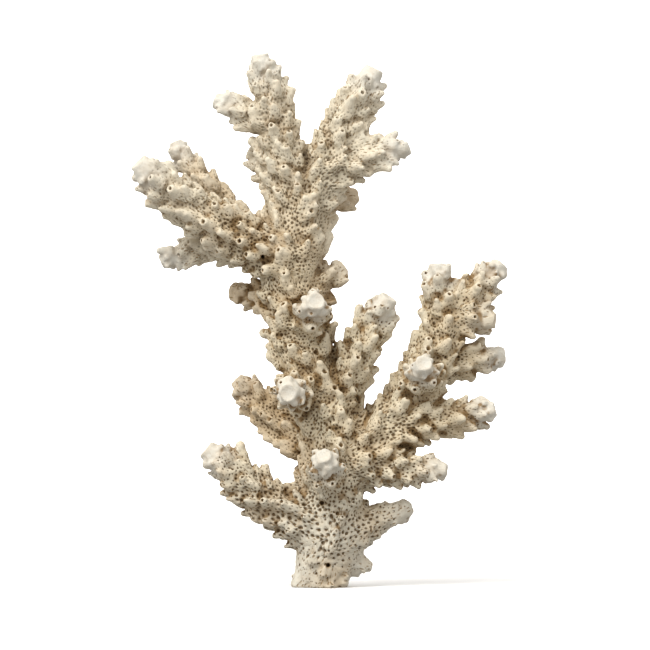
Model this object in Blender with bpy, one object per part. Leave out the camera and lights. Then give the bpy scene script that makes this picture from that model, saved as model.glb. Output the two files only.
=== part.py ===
"""Branching coral: a dried stony coral skeleton, cut off flat at its foot and standing on the cut.

Metres, +Z up, origin in the middle of the flat cut. The broad side of the fan faces -Y.
The tables below are in millimetres and are turned to metres as the meshes are made.
"""

import math
import random

import bmesh
import bpy
from mathutils import Matrix, Quaternion, Vector

MM = 0.001

# Driving dimensions, in millimetres
KERF = 0.3  # gap that the saw cut leaves between two pieces
VOXEL = 0.75  # grid on which the overlapping tubes are fused
SOFTENING = (0.5, 3)  # factor and passes that smooth the grid's steps
SAMPLE_STEP = 1.5  # distance between the rings of a tube
RING_SIDES = 14
DOME_SHARES = (0.4, 0.7, 0.85)  # heights of the rings that round off a branch's end, in its radii
TRIANGLES = 9500  # of the whole coral, but for the few that flat cuts add
HEIGHT = 160.0
GOLDEN_ANGLE = math.radians(137.508)
ROOT_DEPTH = 1.6  # how deep a corallite starts below the surface of its branch

# Radial corallites, the small upturned tubes that cover every branch
NUB_AREA = 27.0  # surface that each one has on a branch, mm2
NUB_AREA_WIDE = 36.0  # and on the trunk
NUB_MID = 1.0  # height above the core at which that surface is measured
WIDE_RADIUS = 8.0  # a core this thick counts as trunk
NUB_LEAN = math.radians(47)  # between a corallite and its branch
NUB_FOOT_RADIUS = 2.1
NUB_LIP_RADIUS = 1.15
NUB_REACH = 2.4  # how far its lip stands out from the core
NUB_SIDES = 7
FIRST_NUB = 1.5  # distance from a line's root to its first corallite
BARE_TIP = 2.0  # length of the bare end of a branch
YOUNG = 9.0  # corallites nearer the tip than this are smaller
YOUNG_SIZE = 0.55  # size of the youngest, as a share of the full size
WORN_HEIGHT = 24.0  # below this height they are worn down to low mounds
WORN_SIZE = 0.25  # size of the most worn
FOOT_GROWTH = 0.5  # how much of a corallite's size shows in the width of its foot
LIP_GROWTH = 0.4  # and in the width of its lip
SIZE_SPREAD = (0.86, 1.16)  # chance differences between corallites
LEAN_SPREAD = (0.88, 1.15)
TURN_SPREAD = 0.25

# Saw blades: how far they reach past a core, from the first choice to the last, and what they clear
BLADE_REACHES = (4.4, 3.4, 2.6, 1.8)
BLADE_CLEARANCE = 0.5
BLADE_CORNERS = 36
CUT_SEARCH_STEP = 0.5
CUT_MARGIN = 1.0  # corallites keep this far from a saw cut, but for those beside it

CREASE = math.radians(50)  # edges sharper than this stay sharp in the shading
ROUGHNESS = 0.85
FOOT_COLOUR = Vector((0.36, 0.33, 0.26, 1.0))
TIP_COLOUR = Vector((0.66, 0.61, 0.50, 1.0))

# Centre lines from root to tip, as (x, y, z, core radius)
TRUNK = [(1.0, 0, -3, 8.0), (1.2, 0, 3, 8.2), (1.6, 0, 9, 9.2), (2.6, 0, 17, 10.0), (3.4, 0, 26, 9.9),
         (4.0, 0, 35, 9.6), (4.2, 0, 43, 9.4), (3.2, 0, 50, 8.6), (1.4, 0, 56, 8.2), (-2.2, 0, 63, 8.3),
         (-4.6, 0, 70, 8.3), (-6.0, 0, 77, 8.3), (-7.4, 0, 84, 8.4), (-9.4, 0, 91, 8.7),
         (-9.8, 0, 98, 8.7), (-8.8, 0, 105, 8.4), (-7.4, 0, 111, 7.9), (-7.6, 0, 117, 7.3),
         (-9.4, -0.3, 123, 6.6), (-11.0, -0.7, 128, 6.1), (-12.2, -1, 133, 5.8), (-13.2, -1.2, 138, 5.4),
         (-14.6, -1.6, 144, 4.9), (-15.9, -2, 150, 4.4), (-16.9, -2.3, 154.6, 3.8),
         (-17.3, -2.5, 156.8, 3.4)]
RIGHT_ARM = [(4.4, 0, 34, 8.8), (11.4, 0, 40.0, 8.6), (17.6, 0, 44.8, 7.2), (22.6, 0, 50.2, 6.4),
             (27.4, 0, 57.0, 6.1), (31.6, 0, 64.6, 5.9), (35.2, 0, 71.8, 5.7), (38.4, 0, 78.0, 5.4),
             (42.6, 0.4, 83.2, 4.8), (46.6, 1, 87.6, 4.4), (50.2, 1.5, 91.8, 4.0), (52.2, 2, 94.6, 3.6)]
BRANCHES = {
    "lower_left_branch": [
        (3.0, 0, 16, 8.4), (-4.0, -0.5, 18.8, 7.8), (-9.5, -1, 21.8, 6.8), (-14.8, -2, 25.2, 6.0),
        (-20.0, -3, 28.9, 5.6), (-24.9, -3.5, 33.0, 5.2), (-28.9, -4, 37.0, 4.7), (-31.4, -4, 39.3, 4.0)],
    "lower_right_branch": [
        (4.0, 0, 13.8, 8.4), (9.5, 0.5, 16.9, 6.6), (14.0, 1, 18.9, 5.0), (18.5, 1.5, 20.6, 4.1),
        (23.0, 2, 22.2, 3.5), (25.2, 2.5, 23.1, 3.1)],
    "right_spur": [
        (4.2, 0, 36, 8.4), (10.0, -0.5, 36.8, 7.4), (16.0, -1.5, 36.6, 6.0), (22.0, -2.5, 36.2, 4.8),
        (28.0, -3.5, 35.5, 4.2), (33.0, -4.5, 35.2, 3.7), (35.8, -5, 35.2, 3.0)],
    "rear_left_branch": [
        (3.0, 2, 38, 7.4), (-3.0, 6.6, 42.0, 5.8), (-8.0, 10.0, 46.0, 4.8), (-13.0, 11.8, 50.4, 4.4),
        (-18.0, 12.4, 55.0, 4.0), (-21.8, 13.2, 58.4, 3.6), (-23.6, 13.6, 60.2, 3.2)],
    "mid_branchlet": [
        (0.0, 0, 50, 6.4), (4.0, -1, 56.5, 5.2), (7.4, -2, 62.2, 4.8), (9.8, -2.7, 67.0, 4.8),
        (12.4, -3.4, 72.6, 4.6), (15.2, -4, 78.1, 4.3), (17.6, -4.5, 82.2, 4.0), (18.9, -5, 84.4, 3.5)],
    "right_inner_tip": [
        (37.2, 0, 75.0, 5.0), (36.4, -0.6, 82.0, 4.1), (35.8, -1.2, 88.0, 3.6), (35.3, -1.6, 92.4, 3.2),
        (35.1, -1.8, 94.8, 2.8)],
    "right_upper_side_branch": [
        (32.0, 1, 67.0, 5.4), (38.0, 2.8, 67.8, 4.3), (43.0, 4.0, 68.2, 3.8), (48.0, 4.8, 68.6, 3.5),
        (53.2, 5.4, 69.0, 3.0)],
    "right_lower_side_branch": [
        (21.0, -0.5, 47.6, 6.4), (28.0, -1, 49.0, 5.0), (34.0, -1.6, 49.9, 4.2), (40.0, -2.1, 50.8, 3.7),
        (46.0, -2.6, 52.0, 3.4), (50.2, -3, 53.2, 3.0)],
    "left_front_branch": [
        (-8.0, -1, 98.0, 7.8), (-16.5, -2.5, 101.0, 6.7), (-24.0, -4.5, 104.6, 6.0),
        (-31.0, -6.5, 108.8, 5.6), (-38.0, -8.5, 113.6, 5.3), (-44.6, -10, 118.4, 4.9),
        (-49.8, -11.2, 122.6, 4.4), (-51.8, -11.7, 124.4, 3.9)],
    "left_rear_branch": [
        (-8.0, 2, 99.0, 6.4), (-14.4, 5.0, 102.4, 4.8), (-20.6, 7, 106.8, 4.0), (-26.8, 8.4, 111.9, 3.7),
        (-32.6, 9.2, 117.6, 3.5), (-37.6, 9.8, 123.6, 3.3), (-41.2, 10.2, 129.0, 3.1),
        (-42.8, 10.4, 132.2, 2.7)],
    "left_lower_branch": [
        (-16.0, 0, 101.0, 6.0), (-23.6, 2.4, 102.2, 4.7), (-30.6, 3.8, 102.4, 3.8),
        (-37.0, 4.4, 101.6, 3.3), (-42.6, 4.6, 99.6, 3.0), (-45.8, 4.8, 98.0, 2.7)],
    "top_side_branch": [
        (-14.2, -1, 139.2, 4.4), (-20.0, 0, 141.8, 3.8), (-25.0, 0.8, 143.7, 3.3), (-29.4, 1.4, 145.3, 2.9)],
    "upper_right_branch": [
        (-6.0, 0, 112, 7.2), (-1.0, -0.4, 119.6, 6.5), (3.0, -0.8, 128.0, 5.8), (6.2, -1.2, 135.6, 5.5),
        (9.4, -1.6, 142.0, 5.2), (12.2, -2, 147.0, 4.8), (14.0, -2.3, 150.6, 4.3), (14.8, -2.5, 152.4, 3.7)],
    "upper_right_side_branch": [
        (1.0, -1, 123.6, 5.4), (7.5, -2.6, 126.6, 4.6), (13.0, -3.8, 128.3, 4.0), (18.0, -4.6, 129.6, 3.5),
        (22.0, -5.1, 130.5, 3.1), (24.8, -5.5, 131.2, 2.7)],
}

# Short stubs, which stay on the piece that they grow from
STUBS = [
    [(-2.0, -1, 7, 5.0), (-5.6, -2, 1.5, 3.6)],
    [(5.0, 0, 9, 5.5), (10.5, 1, 7.3, 3.8), (13.8, 1, 6.3, 2.8)],
    [(2.2, -4, 29, 5.4), (2.0, -12, 34, 4.4), (1.6, -18.5, 38.6, 3.5)],
    [(4.0, 4, 22, 5.4), (5.0, 12, 27, 4.2), (5.5, 17, 31, 3.3)],
    [(6.5, 5, 33, 5.4), (8.5, 12, 37, 4.2), (9.5, 17, 40, 3.3)],
    [(-6.0, -3, 58.4, 4.6), (-8.0, -11, 58.6, 4.0), (-8.8, -17, 58.7, 3.6)],
    [(-5.2, -3, 78.6, 5.0), (-3.2, -10, 82.0, 4.0), (-1.7, -15.5, 84.6, 3.5)],
    [(-3.0, 1, 88.4, 4.6), (2.4, 2, 92.0, 3.5), (5.6, 2.5, 94.7, 2.9)],
    [(-4.0, 3, 83.0, 4.0), (3.0, 5, 86.6, 2.2)],
    [(-10.0, 3, 86.0, 4.8), (-18.0, 8, 87.8, 3.6), (-24.8, 10, 88.2, 2.9)],
    [(-2.0, 4, 66, 5.0), (-5.0, 12, 72, 4.1), (-6.6, 17, 76.5, 3.3)],
    [(29.6, -3, 60.6, 4.6), (30.4, -10, 64.2, 3.9), (30.6, -14.5, 66.0, 3.2)],
    [(31.0, 3, 66.0, 4.4), (32.0, 10, 71.0, 3.5), (32.4, 13.5, 74.0, 3.0)],
    [(41.0, 0, 80.6, 4.6), (46.6, -1.5, 80.4, 3.6), (50.0, -2, 80.4, 3.1)],
    [(-6.0, 2, 114.0, 5.0), (2.0, 7, 116.0, 3.8), (8.4, 10.5, 117.0, 3.3)],
    [(-8.0, 4, 100.0, 5.0), (-6.6, 12, 105.0, 3.9), (-5.8, 16.5, 108.6, 3.2)],
    [(-10.0, 2.5, 121.0, 4.4), (-16.4, 6, 126.6, 3.3), (-19.6, 7.5, 130.4, 2.6)],
]

# Corallites much larger than the rest, as foot, lip and the two radii
FINGERS = [
    ((-23.4, -3.5, 33.0), (-23.9, -3.6, 43.6), 2.7, 1.9),
    ((-16.8, -2.0, 30.0), (-16.5, -2.0, 37.2), 2.2, 1.3),
    ((28.6, 0.0, 66.0), (29.3, 0.5, 76.6), 3.0, 1.9),
    ((0.0, 0.0, 107.0), (5.2, 1.5, 111.4), 2.6, 1.6),
    ((-0.5, 0.0, 101.0), (3.5, 1.0, 105.6), 2.6, 1.6),
    ((-9.0, 1.0, 75.0), (-17.8, 2.5, 76.4), 2.7, 1.9),
    ((-7.0, 1.0, 68.0), (-15.4, 3.0, 69.8), 2.6, 1.8),
    ((-2.6, -2.0, 71.0), (5.0, -3.0, 79.4), 2.8, 1.2),
    ((16.6, -3.6, 130.0), (17.4, -3.0, 135.6), 2.3, 1.5),
]

# Saw cuts by hand where thick branches meet side by side: middle, normal, reach in the fan's plane
# and reach across it
FORK_CUTS = [
    ((2.4, 0, 51.5), (0.04, 0, 1), 12.2, 13.4),
    ((-9.9, 0, 95.2), (-0.25, 0, 0.97), 13.2, 12.5),
    ((18.8, 0, 46.2), (0.58, 0, 0.81), 12.0, 12.5),
]

# Pieces that end a longer line: the line, and how far along it the saw cut is looked for
LINE_ENDS = {
    "top_branch": ("trunk", 134.0),
    "right_outer_tip": ("right_arm", 66.0),
}

# Pieces that lie between two cuts, and a point on the axis of each
BETWEEN_CUTS = {
    "base_trunk": (3.0, 0, 20),
    "mid_trunk": (-5.0, 0, 72),
    "upper_trunk": (-8.6, 0, 106),
    "right_main_branch": (29.0, 0, 60),
}


def clear_scene():
    for obj in list(bpy.data.objects):
        bpy.data.objects.remove(obj)


def new_object(name, bm):
    mesh = bpy.data.meshes.new(name)
    bm.to_mesh(mesh)
    bm.free()
    obj = bpy.data.objects.new(name, mesh)
    bpy.context.scene.collection.objects.link(obj)
    return obj


def apply_modifiers(obj):
    graph = bpy.context.evaluated_depsgraph_get()
    mesh = bpy.data.meshes.new_from_object(obj.evaluated_get(graph))
    obj.modifiers.clear()
    obj.data = mesh


def smooth_line(points):
    """(position, radius) every SAMPLE_STEP along a Catmull-Rom curve through the points."""
    ends = [points[0], *points, points[-1]]
    found = []
    for i in range(len(points) - 1):
        a, b, c, d = (Vector(p) for p in ends[i:i + 4])
        count = max(1, round((c - b).xyz.length / SAMPLE_STEP))
        for k in range(count):
            t = k / count
            found.append(0.5 * (2 * b + (c - a) * t + (2 * a - 5 * b + 4 * c - d) * t * t
                                + (3 * b - a - 3 * c + d) * t ** 3))
    found.append(Vector(points[-1]))
    return [(s.xyz, s.w) for s in found]


def along(line, distance):
    """(position, direction, radius) at this distance along a smooth line."""
    for (p, r), (q, s) in zip(line, line[1:]):
        step = (q - p).length
        if distance <= step:
            t = distance / step
            return p.lerp(q, t), (q - p).normalized(), r + (s - r) * t
        distance -= step
    return line[-1][0], (line[-1][0] - line[-2][0]).normalized(), line[-1][1]


def length_of(line):
    return sum((q[0] - p[0]).length for p, q in zip(line, line[1:]))


def gap_to(point, cores):
    """Distance from a point to the nearest surface of these cores, negative inside."""
    return min((point - position).length - radius for position, radius in cores)


def add_ring(bm, centre, axis, radius):
    turn = axis.to_track_quat("Z", "X")
    angles = (2 * math.pi * k / RING_SIDES for k in range(RING_SIDES))
    return [bm.verts.new(centre + turn @ Vector((radius * math.cos(a), radius * math.sin(a), 0)))
            for a in angles]


def add_tube(bm, rings):
    """A closed tube through rings of (centre, axis, radius)."""
    loops = [add_ring(bm, *ring) for ring in rings]
    for low, high in zip(loops, loops[1:]):
        for k in range(RING_SIDES):
            n = (k + 1) % RING_SIDES
            bm.faces.new((low[k], low[n], high[n], high[k]))
    bm.faces.new(reversed(loops[0]))
    bm.faces.new(loops[-1])


def add_branch(bm, line):
    """A branch's core: a tapered tube with a domed end."""
    rings = [(p, along(line, SAMPLE_STEP * i)[1], r) for i, (p, r) in enumerate(line)]
    tip, axis, radius = rings[-1]
    for share in DOME_SHARES:
        rings.append((tip + axis * radius * share, axis, radius * math.sqrt(1 - share ** 2)))
    add_tube(bm, rings)


def add_nub(bm, foot, lip, foot_radius, lip_radius):
    """One corallite: a short tapering tube from inside the core out to its lip."""
    axis = lip - foot
    place = Matrix.Translation(foot + axis / 2) @ axis.to_track_quat("Z", "X").to_matrix().to_4x4()
    bmesh.ops.create_cone(bm, cap_ends=True, segments=NUB_SIDES, radius1=foot_radius,
                          radius2=lip_radius, depth=axis.length, matrix=place)


def nub_scale(height, to_tip):
    """Corallites are small near a tip and worn low near the foot."""
    young = min(1.0, YOUNG_SIZE + (1 - YOUNG_SIZE) * (to_tip - BARE_TIP) / YOUNG)
    worn = min(1.0, WORN_SIZE + (1 - WORN_SIZE) * max(0.0, height) / WORN_HEIGHT)
    return young * worn


def crosses(foot, lip, cuts):
    """Whether a corallite would stand across one of the saw cuts."""
    for rim, centre, normal in cuts:
        if (lip - centre).length < max((p - centre).length for p in rim):
            sides = [(p - centre).dot(normal) for p in (foot, lip)]
            if min(sides) < CUT_MARGIN and max(sides) > -CUT_MARGIN:
                return True
    return False


def nubs_on(line, others, cuts, rng):
    """Corallites in a golden-angle spiral up a branch, as (foot, lip, foot radius, lip radius)."""
    length = length_of(line)
    distance, turn = FIRST_NUB, rng.uniform(0, 2 * math.pi)
    while distance < length - BARE_TIP:
        centre, axis, radius = along(line, distance)
        side = Quaternion(axis, turn) @ axis.orthogonal().normalized()
        size = nub_scale(centre.z, length - distance) * rng.uniform(*SIZE_SPREAD)
        lean = NUB_LEAN * rng.uniform(*LEAN_SPREAD)
        heading = axis * math.cos(lean) + side * math.sin(lean)
        foot = centre + side * (radius - ROOT_DEPTH)
        lip = foot + heading * ((NUB_REACH * size + ROOT_DEPTH) / math.sin(lean))
        if gap_to(lip, others) > NUB_REACH and not crosses(foot, lip, cuts):
            foot_radius = NUB_FOOT_RADIUS * (1 - FOOT_GROWTH + FOOT_GROWTH * size)
            lip_radius = NUB_LIP_RADIUS * (1 - LIP_GROWTH + LIP_GROWTH * size)
            yield foot, lip, foot_radius, lip_radius
        area = NUB_AREA_WIDE if radius > WIDE_RADIUS else NUB_AREA
        distance += area / (2 * math.pi * (radius + NUB_MID))
        turn += GOLDEN_ANGLE + rng.uniform(-TURN_SPREAD, TURN_SPREAD)


def cores_but(lines, own):
    return [sample for line in lines if line is not own for sample in line]


def fused_coral(lines, cuts):
    """Every core and corallite fused into one skin."""
    bm = bmesh.new()
    rng = random.Random(7)
    for line in lines:
        add_branch(bm, line)
        for nub in nubs_on(line, cores_but(lines, line), cuts, rng):
            add_nub(bm, *nub)
    for foot, lip, foot_radius, lip_radius in FINGERS:
        add_nub(bm, Vector(foot), Vector(lip), foot_radius, lip_radius)
    bmesh.ops.scale(bm, vec=(MM, MM, MM), verts=bm.verts)
    bmesh.ops.recalc_face_normals(bm, faces=bm.faces)
    coral = new_object("coral", bm)

    fuse = coral.modifiers.new("fuse", "REMESH")
    fuse.mode = "VOXEL"
    fuse.voxel_size = VOXEL * MM
    soften = coral.modifiers.new("soften", "SMOOTH")
    soften.factor, soften.iterations = SOFTENING
    apply_modifiers(coral)
    return coral


def cut_foot(coral):
    """Cuts the coral off flat at Z = 0."""
    bm = bmesh.new()
    bm.from_mesh(coral.data)
    cut = bmesh.ops.bisect_plane(bm, geom=[*bm.verts, *bm.edges, *bm.faces], plane_co=(0, 0, 0),
                                 plane_no=(0, 0, 1), clear_inner=True)
    rim = [e for e in cut["geom_cut"] if isinstance(e, bmesh.types.BMEdge)]
    bmesh.ops.triangle_fill(bm, edges=rim, use_beauty=True, normal=(0, 0, -1))
    bm.to_mesh(coral.data)
    bm.free()


def blade_rim(centre, axis, radius, cores):
    """Corners of a blade that reaches past a branch and stops short of its neighbours, or None."""
    turn = axis.to_track_quat("Z", "X")
    near = [c for c in cores if (c[0] - centre).length < c[1] + radius + BLADE_REACHES[0] + 1]
    rim = []
    for k in range(BLADE_CORNERS):
        angle = 2 * math.pi * k / BLADE_CORNERS
        side = turn @ Vector((math.cos(angle), math.sin(angle), 0))
        free = (centre + side * (radius + reach) for reach in BLADE_REACHES)
        corner = next((p for p in free if gap_to(p, near) > BLADE_CLEARANCE), None)
        if corner is None:
            return None
        rim.append(corner)
    return rim


def free_cut(line, others, start):
    """The blade at the first place from start on where this line stands clear of the others."""
    distance = start
    while distance < length_of(line) - BARE_TIP:
        centre, axis, radius = along(line, distance)
        if gap_to(centre, others) > 0:
            rim = blade_rim(centre, axis, radius, others + line)
            if rim:
                break
        distance += CUT_SEARCH_STEP
    return rim, centre, axis, distance


def round_rim(centre, normal, reach, reach_across):
    """Corners of an oval blade whose second axis is Y."""
    across = Vector((0, 1, 0))
    inward = across.cross(Vector(normal).normalized())
    angles = (2 * math.pi * k / BLADE_CORNERS for k in range(BLADE_CORNERS))
    return [Vector(centre) + inward * reach * math.cos(a) + across * reach_across * math.sin(a)
            for a in angles]


def fork_cuts(lines):
    """Every saw cut as (rim, centre, normal), and a point on the axis of each piece."""
    seeds = {name: Vector(point) for name, point in BETWEEN_CUTS.items()}
    cuts = [(round_rim(centre, normal, reach, reach_across), Vector(centre), Vector(normal).normalized())
            for centre, normal, reach, reach_across in FORK_CUTS]
    searches = {name: (name, 0.0) for name in BRANCHES}
    searches.update(LINE_ENDS)
    for name, (line_name, start) in searches.items():
        line = lines[line_name]
        rim, centre, axis, distance = free_cut(line, cores_but(lines.values(), line), start)
        cuts.append((rim, centre, axis))
        seeds[name] = along(line, (distance + length_of(line)) / 2)[0]
    return cuts, seeds


def saw(coral, rim, normal):
    """Cuts the coral with a blade of this outline, one kerf thick."""
    bm = bmesh.new()
    offset = normal * KERF / 2
    low = [bm.verts.new((p - offset) * MM) for p in rim]
    high = [bm.verts.new((p + offset) * MM) for p in rim]
    bm.faces.new(low)
    bm.faces.new(high)
    for k in range(len(rim)):
        n = (k + 1) % len(rim)
        bm.faces.new((low[k], low[n], high[n], high[k]))
    bmesh.ops.recalc_face_normals(bm, faces=bm.faces)
    blade = new_object("saw_cut", bm)
    cut = coral.modifiers.new("saw", "BOOLEAN")
    cut.operation = "DIFFERENCE"
    cut.solver = "MANIFOLD"
    cut.object = blade
    apply_modifiers(coral)
    bpy.data.objects.remove(blade)


def loose_parts(coral):
    """Parts the coral where the saw went through, and returns the loose parts."""
    bpy.context.view_layer.objects.active = coral
    coral.select_set(True)
    bpy.ops.mesh.separate(type="LOOSE")
    return [obj for obj in bpy.data.objects if obj.type == "MESH"]


def surface_gap(obj, point):
    return (obj.closest_point_on_mesh(point)[1] - point).length


def name_pieces(parts, seeds):
    """Names each loose part after the axis that runs through it, and drops the crumbs."""
    pieces = {name: min(parts, key=lambda obj: surface_gap(obj, seed * MM)) for name, seed in seeds.items()}
    for obj in parts:
        if obj not in pieces.values():
            bpy.data.objects.remove(obj)
    for name, obj in pieces.items():
        obj.name = name
    return list(pieces.values())


def thin_out(pieces):
    """Collapses every piece's mesh alike, down to the triangle budget of the whole coral."""
    quads = sum(len(obj.data.polygons) for obj in pieces)
    for obj in pieces:
        thin = obj.modifiers.new("thin", "DECIMATE")
        thin.ratio = TRIANGLES / (2 * quads)
        thin.use_collapse_triangulate = True
        apply_modifiers(obj)


def finish(obj):
    """Smooth shading but for the saw cuts, and the piece's own material, paler towards the tips."""
    obj.data.shade_smooth()
    obj.data.set_sharp_from_angle(angle=CREASE)
    height = max(v.co.z for v in obj.data.vertices) / (HEIGHT * MM)
    material = bpy.data.materials.new(f"{obj.name}_skeleton")
    material.use_nodes = True
    shader = material.node_tree.nodes["Principled BSDF"]
    shader.inputs["Base Color"].default_value = FOOT_COLOUR.lerp(TIP_COLOUR, height)
    shader.inputs["Roughness"].default_value = ROUGHNESS
    shader.inputs["Metallic"].default_value = 0.0
    obj.data.materials.clear()
    obj.data.materials.append(material)


def main():
    clear_scene()
    lines = {"trunk": smooth_line(TRUNK), "right_arm": smooth_line(RIGHT_ARM)}
    lines.update({name: smooth_line(points) for name, points in BRANCHES.items()})
    lines.update({f"stub_{i}": smooth_line(points) for i, points in enumerate(STUBS)})
    cuts, seeds = fork_cuts(lines)
    coral = fused_coral(list(lines.values()), cuts)
    cut_foot(coral)
    for rim, _, normal in cuts:
        saw(coral, rim, normal)
    pieces = name_pieces(loose_parts(coral), seeds)
    thin_out(pieces)
    for obj in pieces:
        finish(obj)


main()
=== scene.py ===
import math
import random

import bpy
import numpy as np
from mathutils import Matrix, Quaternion, Vector
from mathutils.bvhtree import BVHTree
from mathutils.kdtree import KDTree


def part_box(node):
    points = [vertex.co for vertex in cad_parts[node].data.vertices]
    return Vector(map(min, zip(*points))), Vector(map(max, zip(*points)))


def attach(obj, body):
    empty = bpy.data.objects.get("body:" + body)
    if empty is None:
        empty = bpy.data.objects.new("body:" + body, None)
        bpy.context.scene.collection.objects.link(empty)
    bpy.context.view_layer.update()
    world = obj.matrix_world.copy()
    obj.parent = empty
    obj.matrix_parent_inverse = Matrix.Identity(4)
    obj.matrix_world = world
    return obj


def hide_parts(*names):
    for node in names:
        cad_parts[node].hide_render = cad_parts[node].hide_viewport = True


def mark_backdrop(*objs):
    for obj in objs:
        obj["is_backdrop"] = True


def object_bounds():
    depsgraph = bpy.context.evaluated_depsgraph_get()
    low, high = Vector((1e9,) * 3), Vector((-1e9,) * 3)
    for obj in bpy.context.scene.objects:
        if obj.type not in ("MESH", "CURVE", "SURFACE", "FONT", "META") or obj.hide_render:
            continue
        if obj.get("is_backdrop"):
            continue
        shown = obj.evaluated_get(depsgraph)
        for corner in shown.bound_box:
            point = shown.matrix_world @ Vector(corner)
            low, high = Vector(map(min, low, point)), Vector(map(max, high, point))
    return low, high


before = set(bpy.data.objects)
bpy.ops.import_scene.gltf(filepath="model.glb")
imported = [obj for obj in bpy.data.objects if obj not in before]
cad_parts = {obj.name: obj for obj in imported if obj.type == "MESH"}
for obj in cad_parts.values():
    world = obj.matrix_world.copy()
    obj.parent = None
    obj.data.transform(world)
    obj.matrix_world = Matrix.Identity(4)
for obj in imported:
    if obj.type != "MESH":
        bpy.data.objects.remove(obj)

# The whole skeleton is worked out in millimetres as distances on a grid, meshed once, and then
# parted where the solids are parted. Z is up and -Y faces the camera.
MM = 0.001
CAD_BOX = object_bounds()

STEP = 0.355  # of the grid
FAR = 5.0  # distances are kept up to here
GRID_LOW = (-61.0, -27.0, -1.2)
GRID_HIGH = (61.0, 26.0, 164.0)
SAMPLE_STEP = 1.5  # along the centre lines
GOLDEN_ANGLE = math.radians(137.508)

# Cores
CORE_TRIM = 0.65  # a core is this much thinner than its table says, to leave room for its skin
FORK_BLEND = 2.6  # how softly one core runs into another

# Corallites
ROOT_DEPTH = 1.6  # how deep a corallite's axis starts below the surface of its branch
NUB_AREA = 27.0  # surface that each one has on a branch
NUB_AREA_WIDE = 36.0  # and on the trunk
WIDE_RADIUS = 8.0  # a core this thick counts as trunk
NUB_LEAN = math.radians(47)  # between a corallite and its branch
NUB_MID = 1.0  # height above the core at which the area is measured
NUB_FOOT_DEPTH = 0.5  # how deep the visible cone starts below the surface of its branch
NUB_FLANK = 0.5  # how much farther down the branch its lower flank starts
NUB_FOOT_RADIUS = 2.4
NUB_LIP_RADIUS = 1.0
NUB_REACH = 2.3  # how far its lip stands out from the core
NUB_BLEND = 1.4
NUB_CLEARANCE = 1.8  # between a lip and another branch
FIRST_NUB = 1.5  # distance from a line's root to its first corallite
BARE_TIP = 2.0
YOUNG = 9.0  # corallites nearer the tip than this are smaller
YOUNG_SIZE = 0.65
WORN_HEIGHT = 50.0  # below this height they are worn down
WORN_SIZE = 0.3
FOOT_GROWTH = 0.5  # how much of a corallite's size shows in the width of its foot
LIP_GROWTH = 0.4  # and in the width of its lip
SIZE_SPREAD = (0.75, 1.2)  # chance differences between corallites
LEAN_SPREAD = (0.8, 1.25)
TURN_SPREAD = 0.25
LIP_ROUND = 0.7  # how far behind the lip its rounding starts, in radii of the lip
CALICE_RADIUS = 0.45
CALICE_DEPTH = 1.4
CALICE_MOUTH = 1.25  # how far out the opening is cut, in radii of the lip
CALICE_SPREAD = (0.8, 1.25)
CALICE_TAPER = 0.6
CALICE_BLEND = 0.3
OPEN_SHARE = 0.36  # of the corallites; the rest are closed over and more pointed
OPEN_LIP = 1.3  # how much wider than usual an open corallite's lip is
CLOSED_LIP = 0.88  # and a closed one's

# Ends of branches: a blunt corallite with a dished end, in a ring of young ones
RING_PITCH = 3.0
RING_LEAST = 5  # lumps
RING_STRAY = 0.35  # how far a lump strays round the ring, as a share of its place in it
RING_FOOT_DEPTHS = (0.6, 2.2)
RING_FOOT_OUT = 0.4  # in radii of the end
RING_LIP_INSETS = (0.0, 0.7)
RING_LIP_HEIGHTS = (-0.35, 0.25)  # in radii of the end
RING_LUMP_RADIUS = 1.3
RING_LUMP_SPREAD = (0.75, 1.15)
RING_LUMP_FOOT = 1.25  # how much thicker a lump is at its foot
RING_BLEND = 0.6
RING_OPEN_SHARE = 0.35
RING_OPENING = (1.3, 0.5, 0.34, 0.25)  # where it starts and ends, and its two radii, in lump radii
USUAL_END = 3.4  # radius of a branch's end at which lumps and middle have the sizes given here
END_TRIM = 0.4  # how much lower than its rounded end in the table a branch ends
END_RADIUS = 2.8
END_SPREAD = (0.88, 1.1)
END_TAPER = 0.95
END_DEPTH = 1.2
END_LEAN = 0.6
END_BLEND = 0.9
END_DISH = 0.5
DISH_CURVE = 4.5
DISH_LEAN = 1.5
DISH_BLEND = 0.6

# Unevenness of the whole skin, as the distance over which it changes and its size
UNEVEN = [(3.2, 0.34), (1.25, 0.23)]

# Pores
PORE_SPACING = 0.86
PORE_SPACING_FOOT = 1.2
FOOT_HEIGHTS = (14.0, 40.0)  # between them the foot's wide pores turn to the finer ones above
BARE_FOOT = (1.0, 13.0)  # and between these the pores begin
BARE_SPACING = 1.2  # how much sparser they are at the lower of these
BARE_CUT = 0.05  # none on the flat cut, up to this height
BARE_END = 5.0  # none nearer than this to the end of a branch
BARE_RISE = 2.8  # none as far out from the core as this
PORE_RADIUS = 0.36
PORE_SPREAD = (0.65, 1.2)
PORE_FOOT_GROWTH = 0.3
PORE_RISES = (0.9, 2.7)  # as it stands out from the core between these, a pore shrinks
PORE_RISE_SHRINK = 0.5
PORE_REACHES = (5.5, 18.0)  # and it grows as it lies farther from the end, between these
PORE_END_SIZE = 0.65
PORE_PROFILE = (0.2, 1.5)  # its wall, from the floor of the pit to the rim, in its radii
PORE_FARTHEST = 4.0  # distances to a pore are kept up to here, in its radii
PORE_DEPTH = 0.55
PORE_DRAWN = 0.25  # pores are drawn out along their branch by this share
STREAK_DRAWN = 0.7  # and the finest streaks by this one

# Distances over which a colour fades: the white of the ends, the bleaching round the ends above a
# height, and the painted shade round a line that lies behind in shadow
WHITE_REACH = (2.5, 10.0)
BLEACHED_HEIGHT = 96.0
BLEACHED_REACH = (6.0, 34.0)
SHADE_BEHIND_REACH = (0.3, 4.5)
# Painted shade: the less room outside a corner at these distances, the darker it is painted, as the shade in
# hollows and creases
SHADE_PROBE_REACHES = (0.8, 1.6, 3.2)  # distances at which the room outside the surface is measured

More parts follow.
